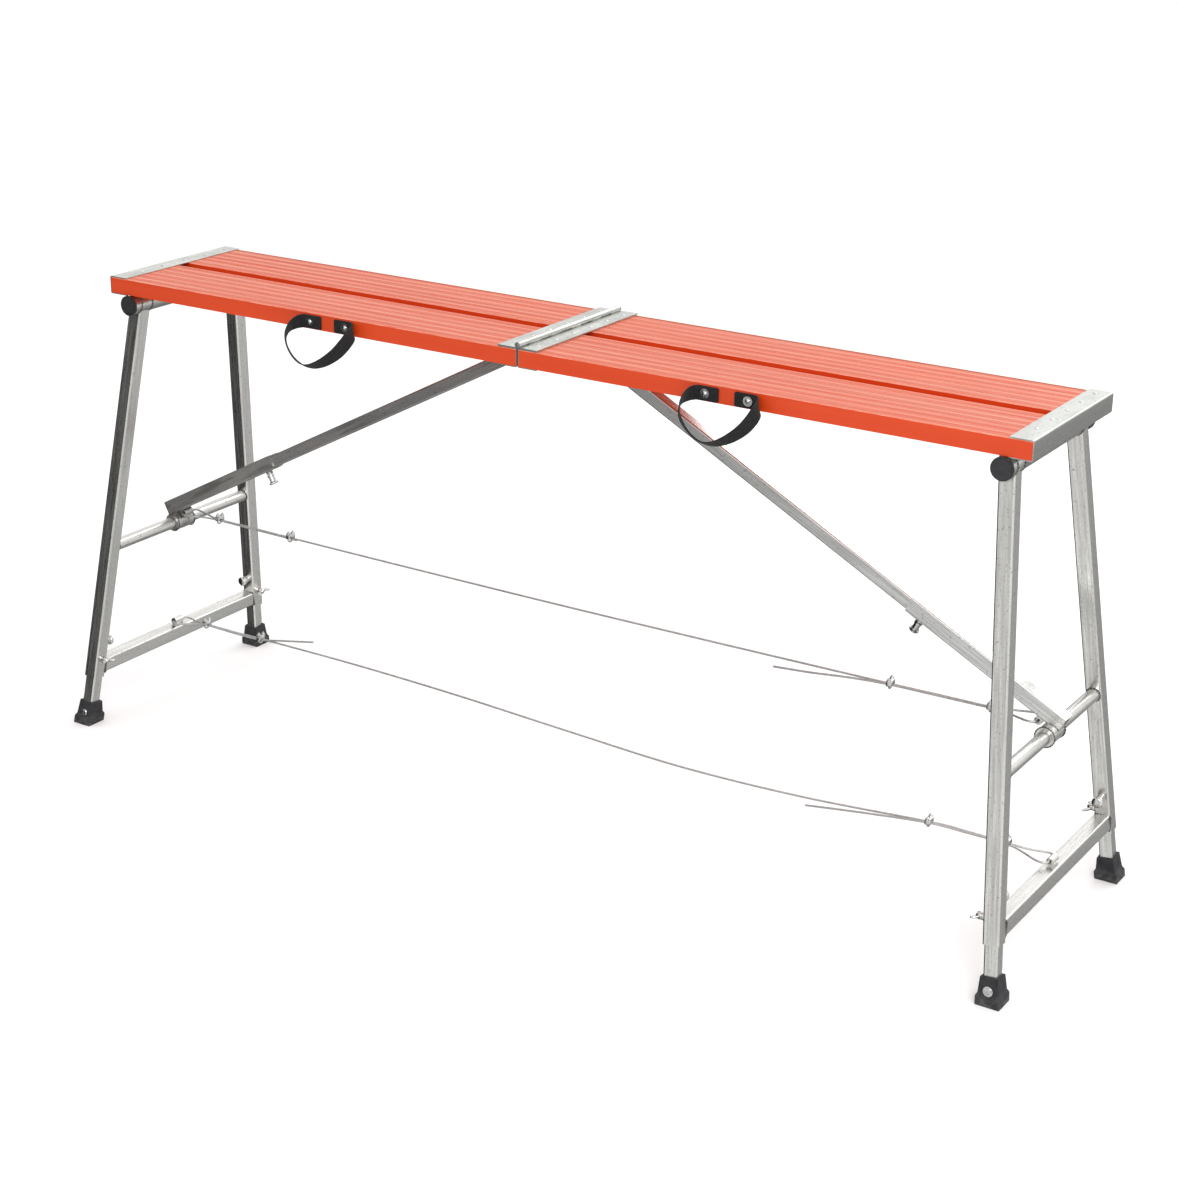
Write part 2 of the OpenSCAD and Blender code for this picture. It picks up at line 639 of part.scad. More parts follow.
// ---- Pins and bolts ----
module leg_pin() {
    knob_y = -leg_tube / 2 - boss_l - knob_gap;
    color("silver") at_leg(leg_pin_h) {
        round_y(pin_d, knob_y - 2, -leg_tube / 2 + tube_wall);
        round_y(leg_knob_d, knob_y - leg_knob_l + 3, knob_y);
        round_y(leg_knob_d - 5, knob_y - leg_knob_l, knob_y - leg_knob_l + 3.5);
    }
}
module wing_bolt() {
    hub = 9;
    root = leg_tube / 2 + boss_l + knob_gap;
    color("silver") at_leg(wing_bolt_h) rotate([0, 0, -90]) {
        round_y(pin_d, -root - hub, -leg_tube / 2 + tube_wall);
        round_y(10, -root - hub, -root);
        for (turn = [0, 180])
            rotate([0, turn, 0]) difference() {
                box([3, -root - hub - 4, -1.5], [wing_span / 2, -root - 2, 1.5]);
                translate([wing_span / 2 - 3, -root - hub, 0]) rotate([0, 0, 45])
                    box([-20, -14, -2], [20, -5, 2]);
            }
    }
}

// ---- Ropes ----
// A clip across two strands that run side by side along X
module rope_clip() {
    bow_r = strand_gap / 2 + rope_d / 2 + 2.2;
    difference() {
        box([-clip_l / 2, -clip_w / 2, -1], [clip_l / 2, clip_w / 2, clip_h - 1]);
        box([-clip_l, -strand_gap / 2 - rope_d / 2 - 0.3, -2],
            [clip_l, strand_gap / 2 + rope_d / 2 + 0.3, rope_d / 2 + 0.9]);
    }
    rotate([0, 90, 0]) rotate([0, 0, -90]) rotate_extrude(angle = 180) translate([bow_r, 0]) circle(d = 3);
    for (y = [-bow_r, bow_r]) {
        translate([0, y, 0]) cylinder(d = 3, h = clip_h + 4);
        translate([0, y, clip_h - 1]) cylinder(d = 6.4, h = 3, $fn = 6);
    }
}
module rope_clips() {
    color("silver") for (p = concat(upper_clips, lower_clips))
        translate([p[0], 0, p[1]]) rope_clip();
}
module rope(points) {
    path = spline(points, 2);
    color("gray") skin([for (i = [0 : len(path) - 1]) tube_ring(path, i, rope_d / 2, 8)]);
}
module rope_upper() {
    rope(upper_rope);
}
module rope_lower() {
    rope(lower_rope);
}

for (side = SIDES) on_side(side) {
    plank_front();
    plank_rear();
    end_cap();
    axle();
    axle_plugs();
    joint_cap();
    hinge_leaf(side == "left" ? 0 : 1);
    rivets();
    strap();
    brace_bracket();
    upper_bar();
    lower_bar();
    brace_sleeve();
    brace_inner();
    brace_pin();
    rope_clips();
    for (row = ["front", "rear"]) on_row(row) {
        leg();
        extension();
        foot();
        foot_screw();
        leg_pin();
        wing_bolt();
    }
}
hinge_pin();
rope_upper();
rope_lower();
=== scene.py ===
# %% [markdown]
# # Folding work bench
# A long, narrow bench of the kind that decorators and plasterers stand on. Two orange
# planks side by side form each half of the deck, and a hinge joins the halves. Under each
# end stands an A-frame of galvanised tube, held by a telescopic brace and two wire ropes.
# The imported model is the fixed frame: everything made here goes where that frame says.

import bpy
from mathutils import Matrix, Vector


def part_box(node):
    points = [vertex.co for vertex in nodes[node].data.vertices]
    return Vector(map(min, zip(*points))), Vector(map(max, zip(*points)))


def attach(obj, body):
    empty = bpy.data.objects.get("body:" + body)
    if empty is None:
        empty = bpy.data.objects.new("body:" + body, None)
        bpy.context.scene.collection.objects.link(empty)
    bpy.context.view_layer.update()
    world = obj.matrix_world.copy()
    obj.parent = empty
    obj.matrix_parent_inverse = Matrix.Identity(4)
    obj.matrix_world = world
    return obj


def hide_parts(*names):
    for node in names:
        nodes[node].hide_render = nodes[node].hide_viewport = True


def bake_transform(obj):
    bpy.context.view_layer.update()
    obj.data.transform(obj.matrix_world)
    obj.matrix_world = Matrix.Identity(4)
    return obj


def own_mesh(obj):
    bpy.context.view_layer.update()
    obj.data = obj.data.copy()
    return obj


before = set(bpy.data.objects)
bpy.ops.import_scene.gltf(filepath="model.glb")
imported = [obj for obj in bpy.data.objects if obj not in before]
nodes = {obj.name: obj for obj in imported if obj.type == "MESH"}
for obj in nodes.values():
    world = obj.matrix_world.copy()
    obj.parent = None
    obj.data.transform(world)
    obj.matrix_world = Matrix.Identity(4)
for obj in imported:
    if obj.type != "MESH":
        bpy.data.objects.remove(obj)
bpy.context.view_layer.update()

# %% [markdown]
# ## Modules and short names
# Blender measures in metres, while a bench is drawn in millimetres, so `MM` turns one into
# the other. Most pieces come in mirrored pairs: the two tables hold the names of the sides
# and rows, with the sign that puts a piece there.

# %% Modules and names
import math

import bmesh
import bpy
from mathutils import Matrix, Vector, noise

MM = 0.001
SIDES = {"left": -1, "right": 1}
ROWS = {"front": -1, "rear": 1}
print(len(nodes), "pieces in the frame")

# %% [markdown]
# ## The camera
# The bench is seen from the front right and from a little above. The camera stands three
# metres in front and two to the right, with a long lens, so the near end looks only
# slightly larger than the far end. Its three turns are written out as one matrix, because a
# small roll is easy to lose when a camera is aimed with a constraint.

# %% Camera
CAMERA_PLACE = Vector((1.9319, -2.96305, 1.6977))
CAMERA_YAW, CAMERA_PITCH, CAMERA_ROLL = -0.5678, 0.3595, 0.0125
SENSOR_WIDTH, LENS = 36, 70.98


def camera_turn(yaw, pitch, roll):
    level = math.cos(pitch)
    ahead = Vector((math.sin(yaw) * level, math.cos(yaw) * level, -math.sin(pitch)))
    right = Vector((math.cos(yaw), -math.sin(yaw), 0))
    up = right.cross(ahead)
    tilted_right = right * math.cos(roll) + up * math.sin(roll)
    tilted_up = up * math.cos(roll) - right * math.sin(roll)
    return Matrix((tilted_right, tilted_up, -ahead)).transposed()


camera = bpy.data.objects.new("camera", bpy.data.cameras.new("camera"))
bpy.context.scene.collection.objects.link(camera)
camera.data.sensor_width = SENSOR_WIDTH
camera.data.lens = LENS
camera.data.clip_end = 100
turn = camera_turn(CAMERA_YAW, CAMERA_PITCH, CAMERA_ROLL)
camera.matrix_world = Matrix.Translation(CAMERA_PLACE) @ turn.to_4x4()
bpy.context.scene.camera = camera
print("camera lens", camera.data.lens)

# %% [markdown]
# ## Small helpers
# Every piece ends as a mesh whose object sits at the origin, and `finish_piece` turns a
# bmesh into such an object. A curve with a section is the quickest way to make a wire rope
# or a bead of weld, so `curve_mesh` turns one into a bmesh. `add_to` joins two bmeshes, and
# the last two helpers turn a few points into a smooth line with even steps.

# %% Piece helpers


def finish_piece(name, bm, material, smooth_angle=35):
    mesh = bpy.data.meshes.new(name)
    bmesh.ops.recalc_face_normals(bm, faces=bm.faces)
    bm.to_mesh(mesh)
    bm.free()
    mesh.materials.append(material)
    piece = bpy.data.objects.new(name, mesh)
    bpy.context.scene.collection.objects.link(piece)
    mesh.shade_smooth()
    mesh.set_sharp_from_angle(angle=math.radians(smooth_angle))
    return piece


def curve_mesh(points, radius=0.0, radii=None, tilts=None, profile=None):
    """A line given a round section of that radius, or the section of a profile."""
    data = bpy.data.curves.new("line", "CURVE")
    data.dimensions = "3D"
    data.twist_mode = "MINIMUM"
    data.use_fill_caps = True
    if profile:
        data.bevel_mode = "OBJECT"
        data.bevel_object = profile
    else:
        data.bevel_depth = radius
        data.bevel_resolution = 2
    spline = data.splines.new("POLY")
    spline.points.add(len(points) - 1)
    for i, p in enumerate(points):
        spline.points[i].co = (*p, 1)
        spline.points[i].radius = radii[i] if radii else 1
        spline.points[i].tilt = tilts[i] if tilts else 0
    holder = bpy.data.objects.new("line", data)
    bpy.context.scene.collection.objects.link(holder)
    bpy.context.view_layer.update()
    solid = holder.evaluated_get(bpy.context.evaluated_depsgraph_get())
    mesh = bpy.data.meshes.new_from_object(solid)
    bpy.data.objects.remove(holder)
    bpy.data.curves.remove(data)
    bm = bmesh.new()
    bm.from_mesh(mesh)
    bpy.data.meshes.remove(mesh)
    bmesh.ops.remove_doubles(bm, verts=bm.verts, dist=1e-5)
    return bm


def add_to(bm, other):
    """Puts a copy of another bmesh into bm, and frees the other."""
    mesh = bpy.data.meshes.new("part")
    other.to_mesh(mesh)
    other.free()
    bm.from_mesh(mesh)
    bpy.data.meshes.remove(mesh)


def smooth_route(points, steps):
    """A curve through every point, with that many steps between two of them."""
    p = [Vector(q) for q in points]
    out = []
    for i in range(len(p) - 1):
        a, b, c, d = p[max(i - 1, 0)], p[i], p[i + 1], p[min(i + 2, len(p) - 1)]
        for k in range(steps):
            t = k / steps
            square = 2 * a - 5 * b + 4 * c - d
            cube = 3 * b - a - 3 * c + d
            out.append(0.5 * (2 * b + (c - a) * t + square * t**2 + cube * t**3))
    return out + [p[-1]]


def even_spacing(points, gap):
    """The same line with points the same distance apart."""
    far = [0.0]
    for a, b in zip(points, points[1:]):
        far.append(far[-1] + (b - a).length)
    count = max(2, round(far[-1] / gap))
    out, k = [], 0
    for i in range(count + 1):
        want = far[-1] * i / count
        while k < len(points) - 2 and far[k + 1] < want:
            k += 1
        share = (want - far[k]) / max(far[k + 1] - far[k], 1e-9)
        out.append(points[k].lerp(points[k + 1], min(share, 1)))
    return out


print("piece helpers ready")

# %% [markdown]
# ## Finishes
# Each finish is a Principled shader with a few texture nodes. All but the webbing's read
# Object coordinates in metres, so a scale of 400 is a grain of a few millimetres on every
# piece alike. `add_node` keeps the node code short. Most finishes start from `noise_of`,
# which `ramp_of` spreads between two or three colours. `rising` gives a value that climbs
# between two limits, which makes a mask from a height, and `product` joins two masks.

# %% Material helpers


def add_node(tree, kind, links=(), **settings):
    made = tree.nodes.new(kind)
    for key, value in settings.items():
        if hasattr(made, key):
            setattr(made, key, value)
        else:
            made.inputs[key.replace("_", " ").strip()].default_value = value
    for socket, source in dict(links).items():
        tree.links.new(source, made.inputs[socket])
    return made


def new_finish(name, colour, roughness, metallic=0.0, specular=0.5):
    finish = bpy.data.materials.new(name)
    finish.use_nodes = True
    shader = finish.node_tree.nodes["Principled BSDF"]
    shader.inputs["Base Color"].default_value = (*colour, 1)
    shader.inputs["Roughness"].default_value = roughness
    shader.inputs["Metallic"].default_value = metallic
    shader.inputs["Specular IOR Level"].default_value = specular
    return finish, finish.node_tree, shader


def stretched(tree, scale, turn=(0, 0, 0)):
    """Object coordinates, first turned and then stretched by a scale for each axis."""
    place = add_node(tree, "ShaderNodeTexCoord").outputs["Object"]
    angles = [math.radians(a) for a in turn]
    turned = add_node(tree, "ShaderNodeMapping", {"Vector": place}, Rotation=angles).outputs["Vector"]
    return add_node(tree, "ShaderNodeMapping", {"Vector": turned}, Scale=scale).outputs["Vector"]


def noise_of(tree, scale, detail=4.0, rough=0.55, stretch=(1, 1, 1), turn=(0, 0, 0)):
    return add_node(
        tree,
        "ShaderNodeTexNoise",
        {"Vector": stretched(tree, stretch, turn)},
        Scale=scale,
        Detail=detail,
        Roughness=rough,
    ).outputs["Fac"]


def ramp_of(tree, value, stops):
    made = add_node(tree, "ShaderNodeValToRGB", {"Fac": value})
    bar = made.color_ramp.elements
    while len(bar) < len(stops):
        bar.new(0.5)
    for spot, (at, colour) in zip(bar, stops):
        spot.position = at
        spot.color = (*colour, 1) if isinstance(colour, tuple) else (colour, colour, colour, 1)
    return made.outputs["Color"]


def mixed(tree, share, a, b, how="MIX"):
    made = tree.nodes.new("ShaderNodeMix")
    made.data_type, made.blend_type = "RGBA", how
    for socket, value in ((0, share), (6, a), (7, b)):
        if isinstance(value, bpy.types.NodeSocket):
            tree.links.new(value, made.inputs[socket])
        else:
            made.inputs[socket].default_value = (*value, 1) if isinstance(value, tuple) else value
    return made.outputs[2]


def rising(tree, value, start, end, low=0.0, high=1.0):
    return add_node(
        tree,
        "ShaderNodeMapRange",
        {"Value": value},
        From_Min=start,
        From_Max=end,
        To_Min=low,
        To_Max=high,
    ).outputs["Result"]


def product(tree, a, b):
    return add_node(tree, "ShaderNodeMath", {0: a, 1: b}, operation="MULTIPLY").outputs[0]


def place_axis(tree, axis):
    """One Object coordinate of the point that is shaded."""
    place = add_node(tree, "ShaderNodeTexCoord").outputs["Object"]
    return add_node(tree, "ShaderNodeSeparateXYZ", {"Vector": place}).outputs[axis]


def bumped(tree, shader, height, distance, strength):
    made = add_node(tree, "ShaderNodeBump", {"Height": height}, Strength=strength, Distance=distance)
    tree.links.new(made.outputs["Normal"], shader.inputs["Normal"])


print("finish helpers ready")

# %% [markdown]
# ### Orange coat of the planks
# The real planks are aluminium profiles with a matt powder coat. Such a coat is almost one colour, so
# its life comes from small things: the dimpled skin, pale streaks along the length of the top faces,
# which are painted sheen, and paler floors in the fine grooves, painted light that lifts the shade in
# them. The height of a point tells the top from those floors. Along the rear edge runs a dark line,
# painted shade of a groove, and behind it a pale strip, a painted highlight on the rear lip. That strip
# is picked by its distance from the rear, so the whole rear face is painted pale too.

# %% Orange powder coat
deck_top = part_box("plank_front_right")[1].z
rear_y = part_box("plank_rear_right")[1].y
GROOVE_DEEPEST, GROOVE_DEEP, GROOVE_SHALLOW, GROOVE_END = 1.2 * MM, 0.9 * MM, 0.7 * MM, 0.3 * MM
TOP_END = 0.1 * MM
# Painted shade and highlight: a dark line for the shade of a groove near the rear edge, then a pale
# strip for the highlight on the rear lip.
REAR_SHADE_AND_HIGHLIGHT = ((9.0, 8.4, (0.34, 0.02, 0.006)), (5.2, 4.8, (0.90, 0.72, 0.58)))
# Painted light: pale streaks that paint the sheen of the top faces, and a paler colour that lifts the
# shade in the groove floors.
TOP_SHEEN, GROOVE_LIFT = (0.78, 0.31, 0.20), (0.96, 0.50, 0.38)


def coat_colour(tree, streaks):
    """The even coat: streaks along the plank, under a soft cloud."""
    dark, plain, pale = (0.50, 0.038, 0.003), (0.58, 0.049, 0.004), (0.62, 0.064, 0.010)
    coat = ramp_of(tree, streaks, [(0.30, dark), (0.62, plain), (0.85, pale)])
    cloud = noise_of(tree, 5, 3, 0.5, (1, 2, 2))
    tones = ramp_of(tree, cloud, [(0.3, (0.50, 0.036, 0.003)), (0.7, (0.61, 0.056, 0.008))])
    return mixed(tree, 0.25, coat, tones)


def orange_coat():
    finish, tree, shader = new_finish("orange_coat", (0.58, 0.046, 0.005), 0.42, specular=0.36)
    streaks = noise_of(tree, 9, 5, 0.6, (0.25, 9, 3))
    coat = coat_colour(tree, streaks)
    height = place_axis(tree, "Z")
    # Painted sheen: pale streaks on the top faces only, picked by height.
    top = rising(tree, height, deck_top - GROOVE_END, deck_top - TOP_END)
    threads = ramp_of(tree, noise_of(tree, 3, 6, 0.75, (0.8, 110, 1)), [(0.36, 0.12), (0.60, 0.75)])
    coat = mixed(tree, product(tree, top, threads), coat, TOP_SHEEN)
    # Painted light: the groove floors get a paler colour that lifts the shade falling in the grooves.
    floor = rising(tree, height, deck_top - GROOVE_SHALLOW, deck_top - GROOVE_END, 1.0, 0.0)
    not_deep = rising(tree, height, deck_top - GROOVE_DEEPEST, deck_top - GROOVE_DEEP)
    grains = ramp_of(tree, noise_of(tree, 60, 4, 0.7, (0.4, 8, 1)), [(0.38, 0.35), (0.58, 1.0)])
    groove = product(tree, product(tree, floor, not_deep), grains)
    coat = mixed(tree, groove, coat, GROOVE_LIFT)
    # Painted shade and highlight: the dark groove line, then the pale strip that covers the whole rear
    # face.
    place_y = place_axis(tree, "Y")
    for start, end, colour in REAR_SHADE_AND_HIGHLIGHT:
        edge = rising(tree, place_y, rear_y - start * MM, rear_y - end * MM)
        coat = mixed(tree, edge, coat, colour)
    tree.links.new(coat, shader.inputs["Base Color"])
    rough = ramp_of(tree, streaks, [(0.3, 0.36), (0.8, 0.52)])
    tree.links.new(rough, shader.inputs["Roughness"])
    bumped(tree, shader, noise_of(tree, 900, 2, 0.5), 0.2 * MM, 0.35)
    return finish


orange = orange_coat()
print("finish", orange.name)

# %% [markdown]
# ### Galvanised tube
# Zinc on drawn tube is bright but never a mirror. Three patterns make it: slow changes of tone along
# the tube, fine streaks from drawing, and tiny pits. The streaks must run along the tube, so every
# slanting tube has a finish of its own whose coordinates are turned to its run. One number sets how
# many dark blotches lie on it; the left brace gets a darker finish with many of them.

# %% Zinc finishes
ZINC_DARK, ZINC_PALE = 0.66, 1.2
BLOTCH_TONE = (0.07, 0.065, 0.058)
LEG_COLOUR = (0.69, 0.685, 0.66)
BRACE_SLOPE, LEG_LEAN, LEG_SPLAY = 27.95, 6, 8.2


def zinc(name, colour, blotching=0.0, grain=(60, 60, 2), rough=(0.2, 0.36), turn=(0, 0, 0)):
    finish, tree, shader = new_finish(name, colour, 0.35, 1.0)
    dark = tuple(ZINC_DARK * c for c in colour)
    pale = tuple(min(1.0, ZINC_PALE * c) for c in colour)
    slow = tuple(0.06 * g for g in grain)
    cloud = noise_of(tree, 2, 3, 0.5, slow, turn)
    drawn = noise_of(tree, 5, 5, 0.65, grain, turn)
    tones = ramp_of(tree, cloud, [(0.3, dark), (0.5, colour), (0.7, pale)])
    lines = ramp_of(tree, drawn, [(0.34, dark), (0.64, pale)])
    skin = mixed(tree, 0.5, tones, lines)
    pits = ramp_of(tree, noise_of(tree, 260, 4, 0.6), [(0.30, 0.55), (0.42, 1.0)])
    skin = mixed(tree, 1.0, skin, pits, "MULTIPLY")
    if blotching:
        blotches = noise_of(tree, 12, 6, 0.7, tuple(0.1 * g for g in grain), turn)
        spots = ramp_of(tree, blotches, [(0.42, 0.0), (0.6, blotching)])
        skin = mixed(tree, spots, skin, BLOTCH_TONE)
        tree.links.new(ramp_of(tree, spots, [(0.0, 1.0), (0.8, 0.45)]), shader.inputs["Metallic"])
    tree.links.new(skin, shader.inputs["Base Color"])
    tree.links.new(ramp_of(tree, drawn, [(0.3, rough[1]), (0.7, rough[0])]), shader.inputs["Roughness"])
    bumped(tree, shader, mixed(tree, 0.4, drawn, noise_of(tree, 350, 3)), 0.3 * MM, 0.25)
    return finish


tube_zinc = zinc("tube_zinc", LEG_COLOUR, grain=(60, 2, 60))
leg_zinc = {
    (row, side): zinc(f"leg_zinc_{row}_{side}", LEG_COLOUR, turn=(-LEG_SPLAY * way, LEG_LEAN * sign, 0))
    for row, way in ROWS.items()
    for side, sign in SIDES.items()
}
brace_zinc = zinc("brace_zinc", (0.66, 0.66, 0.645), grain=(2, 60, 60), turn=(0, -BRACE_SLOPE, 0))
# The left brace gets a darker copy of the brace finish, with many dark blotches.
dark_brace_zinc = zinc("dark_brace_zinc", (0.50, 0.495, 0.48), 0.85, (3, 40, 40), (0.26, 0.42), (0, BRACE_SLOPE, 0))
sheet_zinc = zinc("sheet_zinc", (0.55, 0.56, 0.53), grain=(8, 3, 50), rough=(0.24, 0.42))
plated_zinc = zinc("plated_zinc", (0.62, 0.62, 0.61), grain=(20, 20, 20), rough=(0.16, 0.3))
weld_zinc = zinc("weld_zinc", (0.14, 0.135, 0.13), blotching=0.5, grain=(20, 20, 20), rough=(0.34, 0.55))
wire_zinc = zinc("wire_zinc", (0.52, 0.52, 0.51), grain=(30, 30, 30), rough=(0.3, 0.5))
print(len(leg_zinc) + 7, "zinc finishes")

# %% [markdown]
# ### Rubber and plastic
# The feet are moulded rubber and the axle plugs hard plastic. Both are almost black. The
# rubber is rougher and carries pale floor dust near the ground; the plastic keeps a dull
# shine and faint scratches.

# %% Rubber and plastic
DUST_HEIGHT = 20 * MM


def rubber():
    finish, tree, shader = new_finish("foot_rubber", (0.02, 0.02, 0.022), 0.62, specular=0.35)
    low = rising(tree, place_axis(tree, "Z"), 0.0, DUST_HEIGHT, 0.5, 0.0)
    dust = product(tree, low, ramp_of(tree, noise_of(tree, 120, 5), [(0.4, 0.0), (0.7, 1.0)]))
    tones = [(0.3, (0.012, 0.012, 0.014)), (0.7, (0.03, 0.03, 0.033))]
    skin = ramp_of(tree, noise_of(tree, 60, 4), tones)
    tree.links.new(mixed(tree, dust, skin, (0.16, 0.15, 0.14)), shader.inputs["Base Color"])
    rough = ramp_of(tree, noise_of(tree, 90, 3), [(0.3, 0.5), (0.7, 0.72)])
    tree.links.new(rough, shader.inputs["Roughness"])
    bumped(tree, shader, noise_of(tree, 1400, 3), 0.2 * MM, 0.5)
    return finish


def plastic():
    finish, tree, shader = new_finish("plug_plastic", (0.016, 0.016, 0.018), 0.4)
    scratch = noise_of(tree, 40, 5, 0.7, (1, 1, 12))
    skin = ramp_of(tree, scratch, [(0.35, (0.010, 0.010, 0.012)), (0.75, (0.035, 0.035, 0.038))])
    tree.links.new(skin, shader.inputs["Base Color"])
    tree.links.new(ramp_of(tree, scratch, [(0.3, 0.32), (0.75, 0.55)]), shader.inputs["Roughness"])
    bumped(tree, shader, noise_of(tree, 800, 3), 0.1 * MM, 0.4)
    return finish


foot_rubber = rubber()
plug_plastic = plastic()
print("finishes", foot_rubber.name, plug_plastic.name)

# %% [markdown]
# ### Webbing
# The handles are black polypropylene webbing. Its ribs run across the band and its threads
# along it, so the pattern has to follow the band round its loop. The band's own UV map
# does that: U is the distance along it and V the distance across it, both in metres.

# %% Webbing


def waves(tree, place, axis, scale, distortion, detail):
    return add_node(
        tree,
        "ShaderNodeTexWave",
        {"Vector": place},
        bands_direction=axis,
        Scale=scale,
        Distortion=distortion,
        Detail=detail,
    ).outputs["Fac"]


def webbing():
    finish, tree, shader = new_finish("webbing", (0.02, 0.02, 0.022), 0.75, specular=0.2)
    place = add_node(tree, "ShaderNodeUVMap", uv_map="band").outputs["UV"]
    ribs = waves(tree, place, "X", 180.0, 0.4, 2.0)
    threads = waves(tree, place, "Y", 210.0, 0.3, 1.0)
    weave = mixed(tree, 0.5, ribs, threads, "MULTIPLY")
    skin = ramp_of(tree, weave, [(0.0, (0.003, 0.003, 0.0035)), (0.7, (0.018, 0.018, 0.020))])
    fuzz = ramp_of(tree, noise_of(tree, 200, 6, 0.7), [(0.5, 0.0), (0.75, 0.2)])
    tree.links.new(mixed(tree, fuzz, skin, (0.09, 0.09, 0.095)), shader.inputs["Base Color"])
    shader.inputs["Sheen Weight"].default_value = 0.06
    shader.inputs["Sheen Roughness"].default_value = 0.5
    bumped(tree, shader, weave, 0.5 * MM, 0.7)
    return finish


band_webbing = webbing()
print("finish", band_webbing.name)

# %% [markdown]
# ## The wire ropes
# Each A-frame is tied to the other by two thin wire ropes, so the legs can't spread. A rope
# starts at a free end, passes two clips, loops through an eye on one frame, runs the whole
# length of the bench and does the same at the other end. The section is not round but has
# six lobes, and it is turned as it goes along the line, which gives the lay of the strands.
# A rope is cut into three pieces, because each piece can bend with only one joint: one for
# the left legs, one for the deck's fold, one for the right legs.

# %% Rope routes, in millimetres
ROPE_D = 3.6 * MM
EYE_UPPER = [
    (775, 7, 342), (798, 15, 342), (812, 18, 342), (820, 14, 342), (822.5, 6, 342),
    (822.5, -6, 342), (820, -14, 342), (812, -18, 342), (798, -15, 342), (775, -7, 342),
]
EYE_LOWER = [
    (816, 7, 127), (836, 15, 125), (849, 18, 124.5), (857, 14, 124.4), (859.7, 6, 124.4),
    (859.7, -6, 124.4), (857, -14, 124.4), (849, -18, 124.5), (836, -15, 125), (816, -7, 127),
]


def on_left(points):
    """The same stretch at the other end of the bench, walked the other way."""
    return [(-x, y, z) for x, y, z in reversed(points)]


UPPER_ROUTE = (
    [(-566, -2, 339), (-582, -2, 339), (-660, -2, 340), (-745, -2, 341)]
    + on_left(EYE_UPPER)
    + [(-745, 2, 341), (-660, 2, 340), (-582, 2, 339), (-300, 2, 337), (0, 2, 336), (300, 2, 337)]
    + [(582, 2, 339), (660, 2, 340), (745, 2, 341)]
    + EYE_UPPER
    + [(745, -2, 341), (660, -2, 340), (582, -2, 339), (520, -4, 336), (450, -8, 330), (388, -10, 326)]
)
LOWER_ROUTE = (
    [(-538, 0, 152), (-600, -2, 141), (-660, -2, 130), (-720, -2, 129), (-788, -2, 130)]
    + on_left(EYE_LOWER)
    + [(-788, 2, 130), (-720, 2, 129), (-660, 2, 130), (-450, 2, 130), (-230, 2, 125), (0, 2, 115)]
    + [(220, 2, 107), (440, 2, 113), (660, 2, 130), (720, 2, 131), (788, 2, 130)]
    + EYE_LOWER
    + [(788, -2, 130), (720, -2, 131), (660, -2, 130), (560, -4, 119), (452, -5, 104)]
)

print(len(UPPER_ROUTE), "and", len(LOWER_ROUTE), "points on the two ropes")

# %% [markdown]
# ### A strand's section
# Six strands are twisted round each other, so a cut through the rope shows six shallow
# lobes. A plain flat curve makes that outline, and a tilt that grows along the rope gives
# one full turn of the lay every 24 millimetres.

# %% Strand section and rope piece
ROPE_GAP = 2.4 * MM
LAY = 24 * MM
LOBE_DEPTH = 0.10


def strand_section(radius, lobes=6, steps=24):
    data = bpy.data.curves.new("section", "CURVE")
    data.dimensions = "2D"
    spline = data.splines.new("POLY")
    spline.points.add(steps - 1)
    for i in range(steps):
        turn = math.tau * i / steps
        r = radius * (1 - LOBE_DEPTH + LOBE_DEPTH * math.cos(lobes * turn))
        spline.points[i].co = (r * math.cos(turn), r * math.sin(turn), 0, 1)
    spline.use_cyclic_u = True
    section = bpy.data.objects.new("section", data)
    bpy.context.scene.collection.objects.link(section)
    return section


section = strand_section(ROPE_D / 2)


def rope_piece(name, route):
    line = even_spacing(route, ROPE_GAP)
    tilts = [math.tau * i * ROPE_GAP / LAY for i in range(len(line))]
    piece = finish_piece(name, curve_mesh(line, tilts=tilts, profile=section), wire_zinc, 60)
    long = sum((b - a).length for a, b in zip(line, line[1:]))
    print(name, round(long, 3), "m", len(piece.data.polygons), "faces")
    return piece, long


# %% [markdown]
# ### Three pieces to a rope
# The two cuts lie 300 millimetres to either side of the middle. The outer pieces hold the eyes and the
# free ends, and the middle piece crosses the hinge. The pieces meet end to end, so a straight rope
# shows no joint.

# %% Rope pieces
CUT_X = 0.30


def blend_at_eye(piece):
    """Bakes a piece's placement into its mesh."""
    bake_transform(piece)


def rope(level, route):
    points = [p * MM for p in smooth_route(route, 8)]
    middle = len(points) // 2
    left = max(i for i, p in enumerate(points) if i < middle and p.x <= -CUT_X)
    right = min(i for i, p in enumerate(points) if i > middle and p.x >= CUT_X)
    total = 0
    parts = {
        "left": (points[: left + 1][::-1], "bare"),
        "middle": (points[left : right + 1], "object"),
        "right": (points[right:], "bare"),
    }
    for part, (line, far_end) in parts.items():
        piece, long = rope_piece(f"rope_{level}_{part}", line)
        total += long
        if part == "middle":
            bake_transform(piece)
            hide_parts(f"rope_{level}")
        else:
            blend_at_eye(piece)
    print("whole", level, "rope", round(total, 3), "m")


rope("upper", UPPER_ROUTE)
rope("lower", LOWER_ROUTE)
bpy.data.objects.remove(section)

# %% [markdown]
# ## Rope clips
# Two small clips hold the doubled rope at each end. A real one is a cast saddle, a bent
# rod with two threaded ends that goes round both strands, and two nuts. The saddle starts
# as a flat outline with a groove for the strands; it is extruded to its length and bevelled
# all round, so that it looks cast.

# %% Clip saddle
CLIP_L, CLIP_W, CLIP_H = 9 * MM, 15 * MM, 9 * MM
STRAND_Y = 2 * MM
BOW_R = STRAND_Y + ROPE_D / 2 + 2.2 * MM
ROD_R = 1.5 * MM


